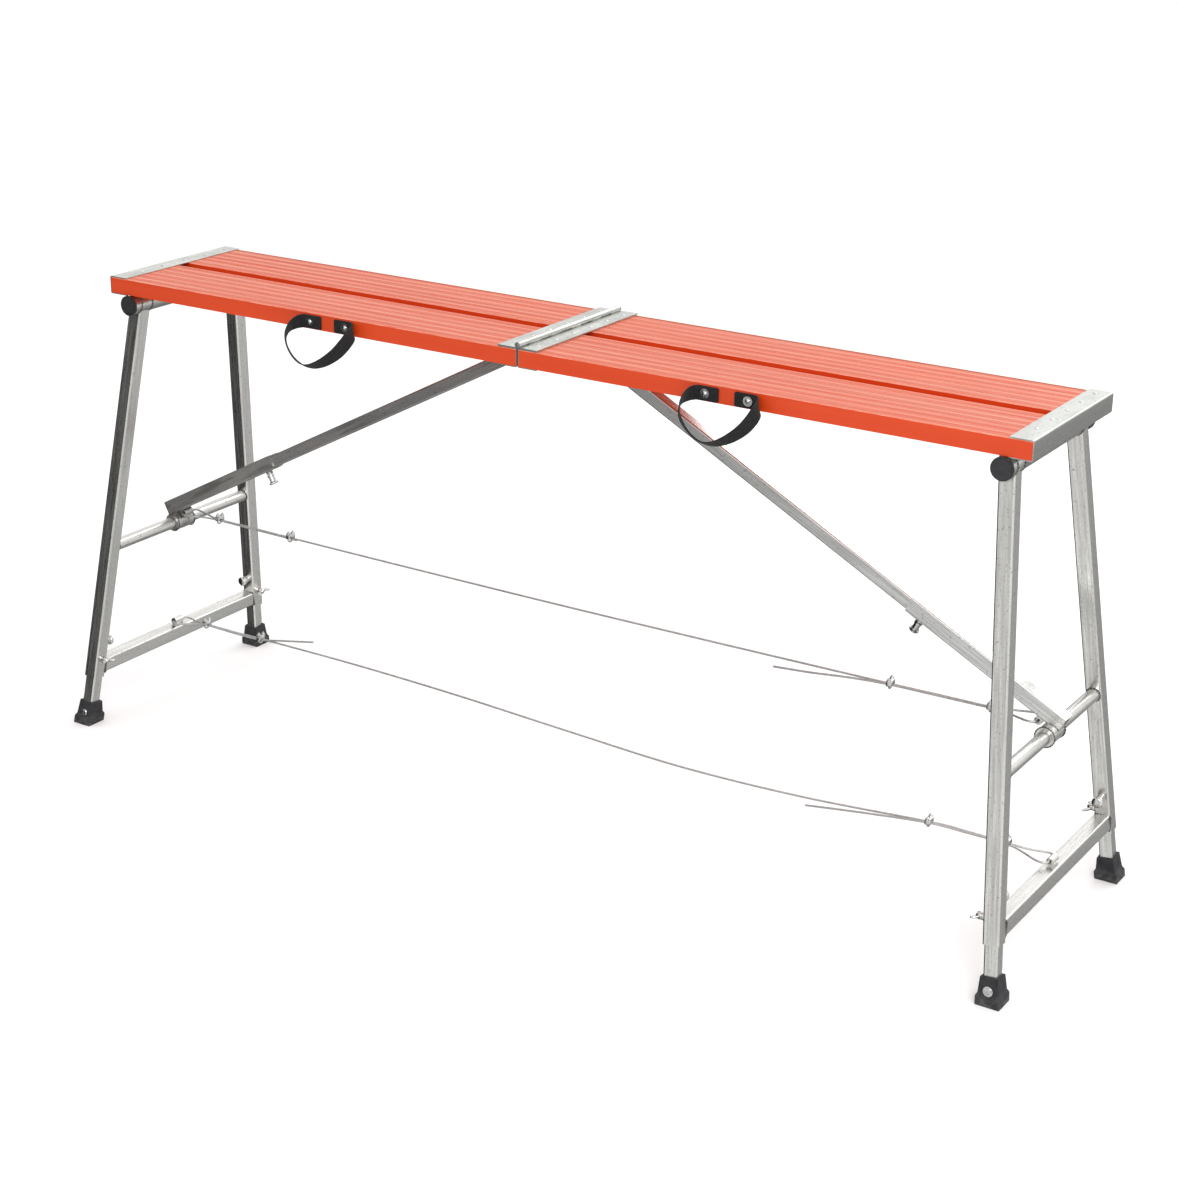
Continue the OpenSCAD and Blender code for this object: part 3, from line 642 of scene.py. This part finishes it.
def bevel_edges(bm, width, sharper_than=30):
    """Rounds every edge that turns by more than that many degrees."""
    limit = math.radians(sharper_than)
    sharp = [e for e in bm.edges if e.is_manifold and e.calc_face_angle(0) > limit]
    bmesh.ops.bevel(
        bm, geom=sharp, offset=width, segments=2, affect="EDGES", profile=0.5, material=-1
    )


def pull_out(bm, grown, along):
    """Moves the points that an extrusion has just made."""
    points = [v for v in grown["geom"] if isinstance(v, bmesh.types.BMVert)]
    bmesh.ops.translate(bm, vec=along, verts=points)


def thick_outline(outline, along):
    """A flat outline, extruded to its thickness."""
    bm = bmesh.new()
    face = bm.faces.new([bm.verts.new(p) for p in outline])
    pull_out(bm, bmesh.ops.extrude_face_region(bm, geom=[face]), along)
    bmesh.ops.recalc_face_normals(bm, faces=bm.faces)
    return bm


def clip_saddle():
    half, groove = CLIP_W / 2, STRAND_Y + ROPE_D / 2 + 0.25 * MM
    outline = [
        (-half, -1), (-half, 5.5), (-half * 0.75, 8), (half * 0.75, 8), (half, 5.5), (half, -1),
        (groove, -1), (groove, 1.2), (groove * 0.8, 2.1),
        (-groove * 0.8, 2.1), (-groove, 1.2), (-groove, -1),
    ]
    bm = thick_outline([(-CLIP_L / 2, y, z * MM) for y, z in outline], (CLIP_L, 0, 0))
    bevel_edges(bm, 0.5 * MM)
    return bm


print("a clip's saddle has", len(clip_saddle().faces), "faces")

# %% [markdown]
# ### Rod and nuts of a clip
# A circle that is spun half a turn makes the bow of the rod. Its two open ends are
# extruded upwards past the saddle and closed. A nut is a six-sided prism with a chamfer,
# and a thin round washer lies below it.

# %% Clip rod and nuts
NUT_R, NUT_H, NUT_LIFT = 3.2 * MM, 2.8 * MM, 0.6 * MM
WASHER_R, WASHER_H, WASHER_DROP = 3.9 * MM, 0.6 * MM, 0.9 * MM


def clip_rod():
    bm = bmesh.new()
    bmesh.ops.create_circle(bm, segments=12, radius=ROD_R, matrix=Matrix.Translation((0, BOW_R, 0)))
    ring = bm.verts[:] + bm.edges[:]
    bmesh.ops.spin(
        bm, geom=ring, cent=(0, 0, 0), axis=(1, 0, 0), angle=-math.pi, steps=12, use_merge=False
    )
    ends = [e for e in bm.edges if e.is_boundary]
    pull_out(bm, bmesh.ops.extrude_edge_only(bm, edges=ends), (0, 0, CLIP_H + 4 * MM))
    bmesh.ops.holes_fill(bm, edges=[e for e in bm.edges if e.is_boundary])
    return bm


def disc(radius, depth, sides, place):
    bm = bmesh.new()
    bmesh.ops.create_cone(
        bm,
        cap_ends=True,
        segments=sides,
        radius1=radius,
        radius2=radius,
        depth=depth,
        matrix=Matrix.Translation(place),
    )
    return bm


def clip_nut(y):
    bm = disc(NUT_R, NUT_H, 6, (0, y, CLIP_H + NUT_LIFT))
    bevel_edges(bm, 0.35 * MM)
    add_to(bm, disc(WASHER_R, WASHER_H, 20, (0, y, CLIP_H - WASHER_DROP)))
    return bm


print("a clip's nut and washer have", len(clip_nut(BOW_R).faces), "faces")

# %% [markdown]
# ### Placing the clips
# The eight clips are one shape, put at eight places along the ropes and tipped a little, as no fitter
# sets them dead straight. Their placement is baked into their meshes. The frame has one node for the
# four clips of a side, so only the first clip of each side replaces it.

# %% Rope clips
CLIPS = {"upper": [(745, 341), (582, 339)], "lower": [(788, 130), (660, 130)]}
CLIP_TIP = math.radians(8)


def rope_clip(name, x, z, tip):
    bm = bmesh.new()
    for part in (clip_saddle(), clip_rod(), clip_nut(-BOW_R), clip_nut(BOW_R)):
        add_to(bm, part)
    bmesh.ops.rotate(bm, matrix=Matrix.Rotation(tip, 3, "X"), cent=(0, 0, 0), verts=bm.verts)
    bmesh.ops.translate(bm, vec=(x, 0, z), verts=bm.verts)
    return finish_piece(name, bm, plated_zinc)


for side, sign in SIDES.items():
    stands_for = [f"rope_clips_{side}"]
    for level, places in CLIPS.items():
        for number, (x, z) in enumerate(places):
            name = f"rope_clip_{level}_{side}_{number}"
            clip = rope_clip(name, sign * x * MM, z * MM, sign * CLIP_TIP)
            blend_at_eye(clip)
            if stands_for:
                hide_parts(stands_for.pop())
print("8 rope clips")

# %% [markdown]
# ## Webbing handles
# A handle is a flat band, riveted to the deck's front edge at both ends. It leaves each rivet along the
# edge, turns outward and hangs in a loop. The band starts as a flat grid; each row of the grid is then
# laid along the loop, across the direction that the band faces there. A Solidify modifier gives it its
# thickness and a Bevel its woven edge.

# %% Handle loop
STRAP_X, STRAP_W, STRAP_T = 365 * MM, 22 * MM, 1.8 * MM
STRAP_CURL, END_TAPER = 0.6 * MM, 0.18
COLUMNS, FLAT_ROWS = 7, 12
front_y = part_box("plank_front_right")[0].y - 0.3 * MM
strap_z = deck_top - 15 * MM
STRAP_HALF = [
    (13, 0, 0), (26, 0, 0), (45, 0, 0), (53, -3, -1), (58, -10, -3), (61, -22, -8),
    (59, -34, -18), (50, -43, -31), (34, -50, -44), (16, -54, -53), (0, -55, -56),
]
STRAP_LEAN = [
    (0, 0, 1), (0, 0, 1), (0, 0, 1), (0, -0.1, 1), (-0.15, -0.2, 0.95), (-0.35, -0.4, 0.85),
    (-0.4, -0.55, 0.7), (-0.35, -0.65, 0.65), (-0.2, -0.75, 0.6), (-0.1, -0.85, 0.5),
    (0, -0.9, 0.45),
]


def whole_loop(half):
    return half + [(-x, y, z) for x, y, z in reversed(half[:-1])]


def lay_band(cell, line, lean, middle):
    """Moves each point of a flat grid to its place on the loop."""
    last = len(line) - 1
    for v, (i, j) in cell.items():
        along = (line[min(i + 1, last)] - line[max(i - 1, 0)]).normalized()
        across = (lean[i] - lean[i].dot(along) * along).normalized()
        share = j / (COLUMNS - 1) - 0.5
        end = min(i, last - i)
        width = STRAP_W * (1 - END_TAPER * max(0, 1 - end / 2) ** 2)
        curl = STRAP_CURL * (1 - (2 * share) ** 2) * min(1, max(0, end - FLAT_ROWS) / FLAT_ROWS)
        v.co = middle + line[i] * MM + across * share * width + along.cross(across) * curl


def handle(side, sign):
    line = smooth_route(whole_loop(STRAP_HALF), 6)
    lean = smooth_route(whole_loop(STRAP_LEAN), 6)
    rows = len(line)
    bm = bmesh.new()
    band = bm.loops.layers.uv.new("band")
    bmesh.ops.create_grid(bm, x_segments=rows - 1, y_segments=COLUMNS - 1, size=0.5)
    far = [0.0]
    for a, b in zip(line, line[1:]):
        far.append(far[-1] + (b - a).length * MM)
    cell = {
        v: (round((v.co.x + 0.5) * (rows - 1)), round((v.co.y + 0.5) * (COLUMNS - 1)))
        for v in bm.verts
    }
    for face in bm.faces:
        for loop in face.loops:
            i, j = cell[loop.vert]
            loop[band].uv = (far[i], j / (COLUMNS - 1) * STRAP_W)
    lay_band(cell, line, lean, Vector((sign * STRAP_X, front_y - STRAP_T / 2, strap_z)))
    piece = finish_piece(f"handle_{side}", bm, band_webbing, 60)
    wall = piece.modifiers.new("thickness", "SOLIDIFY")
    wall.thickness, wall.offset = STRAP_T * 0.94, 0
    edge = piece.modifiers.new("edge", "BEVEL")
    edge.width, edge.segments = 0.5 * MM, 2
    edge.limit_method, edge.angle_limit = "ANGLE", math.radians(50)
    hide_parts(f"strap_{side}")
    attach(piece, f"deck_{side}")
    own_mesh(piece)
    print(piece.name, "band", round(far[-1], 3), "m long")


for side, sign in SIDES.items():
    handle(side, sign)

# %% [markdown]
# ## Knobs and wing bolts
# These are turned or cast pieces, so each one gets its true outline here. `turned` spins a
# profile of radius and height about the Z axis. The two places, `leg_place` and
# `brace_place`, are the frames of the right rear leg and of the right brace, with the lean,
# splay and slope of those tubes. The other legs and the other brace are mirror images.

# %% Turned pieces
AXLE_X, AXLE_Z, LEG_Y = 793.4 * MM, 755.5 * MM, 119.4 * MM
LEAN, SPLAY = math.radians(6), math.radians(8.2)
BRACE_TURN, BAR_X, BAR_Z = math.radians(27.947), 838.753 * MM, 324 * MM
LEG_W = 25 * MM
BOSS_FACE = 18.5 * MM
QUARTER = math.radians(90)


def turned(profile, steps=28):
    bm = bmesh.new()
    ring = [bm.verts.new((r * MM, 0, z * MM)) for r, z in profile]
    edges = [bm.edges.new(pair) for pair in zip(ring, ring[1:])]
    line = ring + edges
    bmesh.ops.spin(
        bm, geom=line, cent=(0, 0, 0), axis=(0, 0, 1), angle=math.tau, steps=steps, use_merge=True
    )
    bmesh.ops.remove_doubles(bm, verts=bm.verts, dist=1e-6)
    return bm


def leg_place(height):
    down = (AXLE_Z - height) / (math.cos(LEAN) * math.cos(SPLAY))
    at_axle = Matrix.Translation((AXLE_X, 0, AXLE_Z)) @ Matrix.Rotation(-LEAN, 4, "Y")
    at_leg = Matrix.Translation((0, LEG_Y, 0)) @ Matrix.Rotation(SPLAY, 4, "X")
    return at_axle @ at_leg @ Matrix.Translation((0, 0, -down))


def brace_place(along):
    at_bar = Matrix.Translation((BAR_X, 0, BAR_Z)) @ Matrix.Rotation(BRACE_TURN, 4, "Y")
    return at_bar @ Matrix.Translation((-along, 0, 0))


def mirrored(sign, way=1):
    return Matrix.Diagonal((sign, way, 1, 1))


def replacement(name, bm, place, node):
    """A bright piece that stands for a frame node and moves with the body of that name."""
    bm.transform(place)
    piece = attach(finish_piece(name, bm, plated_zinc, 40), node)
    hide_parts(node)


print("the right rear leg's boss is at", [round(v, 3) for v in leg_place(0.148).translation])

# %% [markdown]
# ### Knobs
# A knob has a grip with a waist and a flared rim, so that a finger can pull it. The brace's
# knobs hang below the outer tube and are hollow at the end; the legs' knobs point inward.

# %% Knobs
BRACE_KNOB_ALONG, LEG_KNOB_Z = 250 * MM, 148 * MM
BRACE_KNOB = [
    (0, 16.5), (3, 16.5), (3, 9), (5.6, 9), (6.4, 8.3), (6.4, 5.2), (5.4, 4.4), (5.4, -3.8),
    (6.6, -5), (8, -5.6), (8, -7.6), (7.3, -8.6), (5.7, -9), (5.1, -8.2), (4.9, -4.5), (0, -4),
]
LEG_KNOB = [
    (0, 7.5), (3, 7.5), (3, 0), (6, 0), (7, -0.8), (7, -2.6), (5.8, -3.6), (5.8, -5.2),
    (8.4, -6.6), (9, -7.6), (9, -9.8), (8.4, -11), (7, -11.8), (0, -12),
]

for side, sign in SIDES.items():
    place = mirrored(sign) @ brace_place(BRACE_KNOB_ALONG)
    replacement(f"knob_brace_{side}", turned(BRACE_KNOB), place, f"brace_pin_{side}")
    for row, way in ROWS.items():
        inward = Matrix.Translation((0, -BOSS_FACE, 0)) @ Matrix.Rotation(-QUARTER, 4, "X")
        place = mirrored(sign, way) @ leg_place(LEG_KNOB_Z) @ inward
        replacement(f"knob_leg_{row}_{side}", turned(LEG_KNOB), place, f"leg_pin_{row}_{side}")
print("6 knobs")

# %% [markdown]
# ### Wing bolts
# A wing bolt is a screw with a round hub and two ears that lean away from the leg. An ear
# starts as a flat outline, is extruded to its thickness and then bevelled all round, so it
# looks cast. Its outline is drawn outward from the hub.

# %% Wing bolts
WING_BOLT_Z, EAR_T = 122 * MM, 2.8 * MM
HUB = [
    (0, 7.5), (3, 7.5), (3, 0), (5, 0), (5.4, -0.8), (5.2, -5), (4.2, -8), (3.2, -9), (0, -9.2),
]
EAR = [
    (3, -1.6), (6.5, -1.2), (10, -3.2), (13.6, -7), (15, -10.6), (14.2, -13), (11.6, -13.2),
    (9, -11), (6.8, -8.4), (3, -7.6),
]


def ear(way):
    bm = thick_outline([(way * x * MM, -EAR_T / 2, z * MM) for x, z in EAR], (0, EAR_T, 0))
    bevel_edges(bm, 0.9 * MM, sharper_than=50)
    return bm


for side, sign in SIDES.items():
    for row, way in ROWS.items():
        bm = turned(HUB)
        add_to(bm, ear(1))
        add_to(bm, ear(-1))
        inward = Matrix.Translation((-BOSS_FACE, 0, 0)) @ Matrix.Rotation(QUARTER, 4, "Y")
        upright = Matrix.Rotation(QUARTER, 4, "Z")
        place = mirrored(sign, way) @ leg_place(WING_BOLT_Z) @ inward @ upright
        replacement(f"wing_bolt_cast_{row}_{side}", bm, place, f"wing_bolt_{row}_{side}")
print("4 wing bolts")

# %% [markdown]
# ## Weld beads
# The frames are welded by hand, and a hand weld shows as a lumpy bead round each joint. A
# bead is a thin tube along the joint's outline whose radius swells and shrinks with every
# drop of metal. The outline follows the leg's slanting inner face, so each point's distance
# from the middle depends on its height.

# %% Bead and outlines
AXLE_TUBE_R, BAR_BEAD_R = 16 * MM, 10.8 * MM
COLLAR_R, COLLAR_HALF = 15.6 * MM, 20.6 * MM
LEG_BEAD_W, COLLAR_BEAD_W = 1.7 * MM, 1.1 * MM
DROP_GAP = 1.1 * MM
ROUND = [math.tau * k / 40 for k in range(41)]


def leg_face_y(height):
    """Distance of a leg's inner face from the middle plane at a height."""
    down = (AXLE_Z - height) / math.cos(LEAN)
    return LEG_Y + down * math.tan(SPLAY) - LEG_W / 2 / math.cos(SPLAY)


def bead(name, points, body, width):
    line = even_spacing([Vector(p) for p in points], DROP_GAP)
    size = [
        0.8 + 0.3 * math.sin(k * 1.5) + 0.25 * noise.noise(p * 900) for k, p in enumerate(line)
    ]
    piece = finish_piece(name, curve_mesh(line, width, radii=size), weld_zinc, 80)
    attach(piece, body)


def round_outline(x, z, radius, shift=0):
    outline = []
    for turn in ROUND:
        height = z + radius * math.sin(turn)
        outline.append((x + radius * math.cos(turn), leg_face_y(height) + shift, height))
    return outline


def square_outline(x, z, half):
    corners = [(-half, -half), (half, -half), (half, half), (-half, half), (-half, -half)]
    return [(x + a, leg_face_y(z + b), z + b) for a, b in corners]


print("a leg's inner face is", round(leg_face_y(0.148), 3), "m from the middle at its boss")

# %% [markdown]
# ### Placing the beads
# Each leg is welded to its two cross bars, and to the sleeve round the axle on both of its
# faces. The collar that turns on the upper cross bar has a finer bead at each end. That
# collar belongs to the brace, so its beads ride on the brace and not on the leg frame.

# %% Weld beads
for side, sign in SIDES.items():
    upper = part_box(f"upper_bar_{side}")
    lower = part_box(f"lower_bar_{side}")
    bar_x, bar_z = abs(upper[0].x + upper[1].x) / 2, (upper[0].z + upper[1].z) / 2
    low_z = lower[0].z + LEG_W / 2
    low_x = AXLE_X + (AXLE_Z - low_z) * math.tan(LEAN)
    for row, way in ROWS.items():
        outlines = {
            "upper": round_outline(bar_x, bar_z, BAR_BEAD_R),
            "lower": square_outline(low_x, low_z, LEG_W / 2),
            "axle": round_outline(AXLE_X, AXLE_Z, AXLE_TUBE_R, LEG_W),
            "axle_inner": round_outline(AXLE_X, AXLE_Z, AXLE_TUBE_R),
        }
        for place, outline in outlines.items():
            points = [(sign * x, way * y, z) for x, y, z in outline]
            bead(f"weld_{place}_{row}_{side}", points, f"leg_frame_{side}", LEG_BEAD_W)
    for row, way in ROWS.items():
        points = [
            (sign * (bar_x + COLLAR_R * math.cos(t)), way * COLLAR_HALF, bar_z + COLLAR_R * math.sin(t))
            for t in ROUND
        ]
        bead(f"weld_collar_{row}_{side}", points, f"brace_outer_{side}", COLLAR_BEAD_W)
print("20 weld beads")

# %% [markdown]
# ## Finishes on the frame
# Most pieces of the frame have the right shape already, so they only get their finish. The
# first key that a name starts with says what it is made of, so longer keys come first, and
# anything else is plain tube. The legs and the left brace have finishes of their own.

# %% Dress the frame
FINISHES = {
    "plank": orange,
    "end_cap": sheet_zinc,
    "joint_cap": sheet_zinc,
    "hinge_leaf": sheet_zinc,
    "axle_plugs": plug_plastic,
    "axle": plated_zinc,
    "hinge_pin": plated_zinc,
    "rivets": plated_zinc,
    "brace_bracket": sheet_zinc,
    "brace_pin": plated_zinc,
    "brace": brace_zinc,
    "leg_pin": plated_zinc,
    "wing_bolt": plated_zinc,
    "foot_screw": plated_zinc,
    "foot": foot_rubber,
}
for name, part in nodes.items():
    key = next((k for k in FINISHES if name.startswith(k)), None)
    finish = FINISHES[key] if key else tube_zinc
    if name in ("brace_sleeve_left", "brace_inner_left"):
        finish = dark_brace_zinc
    if name.startswith(("leg_front", "leg_rear", "extension")):
        finish = leg_zinc[tuple(name.split("_")[1:])]
    part.data.materials.clear()
    part.data.materials.append(finish)
print(len(nodes), "frame pieces dressed")

# %% [markdown]
# ## Floor and light
# The bench stands on a plain pale floor that runs past every edge of the view. It is one
# large flat grid with a matt finish. It is hidden from mirrored rays, because bright metal
# would show it as a white band. Two large soft lamps give the light a little direction.

# %% Floor and lamps
FLOOR_HALF = 40


def floor_finish():
    finish, tree, shader = new_finish("floor", (0.93, 0.93, 0.93), 0.8, specular=0.1)
    tones = [(0.3, (0.925, 0.925, 0.925)), (0.7, (0.935, 0.935, 0.935))]
    tree.links.new(ramp_of(tree, noise_of(tree, 0.7, 3), tones), shader.inputs["Base Color"])
    return finish


bm = bmesh.new()
bmesh.ops.create_grid(bm, x_segments=1, y_segments=1, size=FLOOR_HALF)
floor = finish_piece("floor", bm, floor_finish())
floor.visible_glossy = False


def soft_lamp(name, place, aim, size, power):
    data = bpy.data.lights.new(name, "AREA")
    data.shape, data.size, data.energy = "DISK", size, power
    lamp = bpy.data.objects.new(name, data)
    bpy.context.scene.collection.objects.link(lamp)
    lamp.location = place
    lamp.rotation_euler = (Vector(aim) - Vector(place)).to_track_quat("-Z", "Y").to_euler()


soft_lamp("lamp_front", (3.2, -3.6, 3.4), (0.5, 0, 0.5), 2.6, 110)
soft_lamp("lamp_back", (0.5, 4.5, 3.5), (0, 0, 0.5), 3.0, 60)
print("floor and 2 lamps")

# %% [markdown]
# ### The sky
# An even white sky does most of the lighting. Bright metal shows only what it reflects, so
# in an all-white room it would vanish. The sky is therefore different for mirrored rays: it
# has a dark screen on the left, beyond the front corner, a grey one low down behind the
# bench, and it darkens towards the ground and brightens overhead.

# %% Sky
SKY_STRENGTH = 1.08
DARK_SCREEN = ((-0.95, -0.25, -0.12), 0.64, 0.74, 0.96, 0.01)
LOW_SCREEN = ((-0.142, 0.807, -0.574), 0.64, 0.77, 1.0, 0.36)
GROUND = ((0, 0, -1), 0.62, 0.97, 1.0, 0.2)
ABOVE = ((0, 0, 1), 0.0, 0.3, 1.0, 1.25)


def facing(tree, direction, axis, start, end, low, high):
    """A value that goes from low to high as a direction turns towards an axis."""
    made = add_node(tree, "ShaderNodeVectorMath", {0: direction}, operation="DOT_PRODUCT")
    made.inputs[1].default_value = Vector(axis).normalized()
    step = rising(tree, made.outputs["Value"], start, end, low, high)
    step.node.interpolation_type = "SMOOTHSTEP"
    return step


world = bpy.data.worlds.new("sky")
bpy.context.scene.world = world
world.use_nodes = True
sky = world.node_tree
direction = add_node(sky, "ShaderNodeTexCoord").outputs["Generated"]
seen = facing(sky, direction, *DARK_SCREEN)
for band in (LOW_SCREEN, GROUND, ABOVE):
    seen = product(sky, seen, facing(sky, direction, *band))
glossy = add_node(sky, "ShaderNodeLightPath").outputs["Is Glossy Ray"]
strength = add_node(
    sky, "ShaderNodeMapRange", {"Value": glossy, "To Max": seen}, To_Min=SKY_STRENGTH
).outputs["Result"]
background = sky.nodes["Background"]
sky.links.new(strength, background.inputs["Strength"])
background.inputs["Color"].default_value = (1.0, 1.0, 1.0, 1)
bpy.context.scene.view_settings.view_transform = "Standard"
print("sky strength", SKY_STRENGTH)
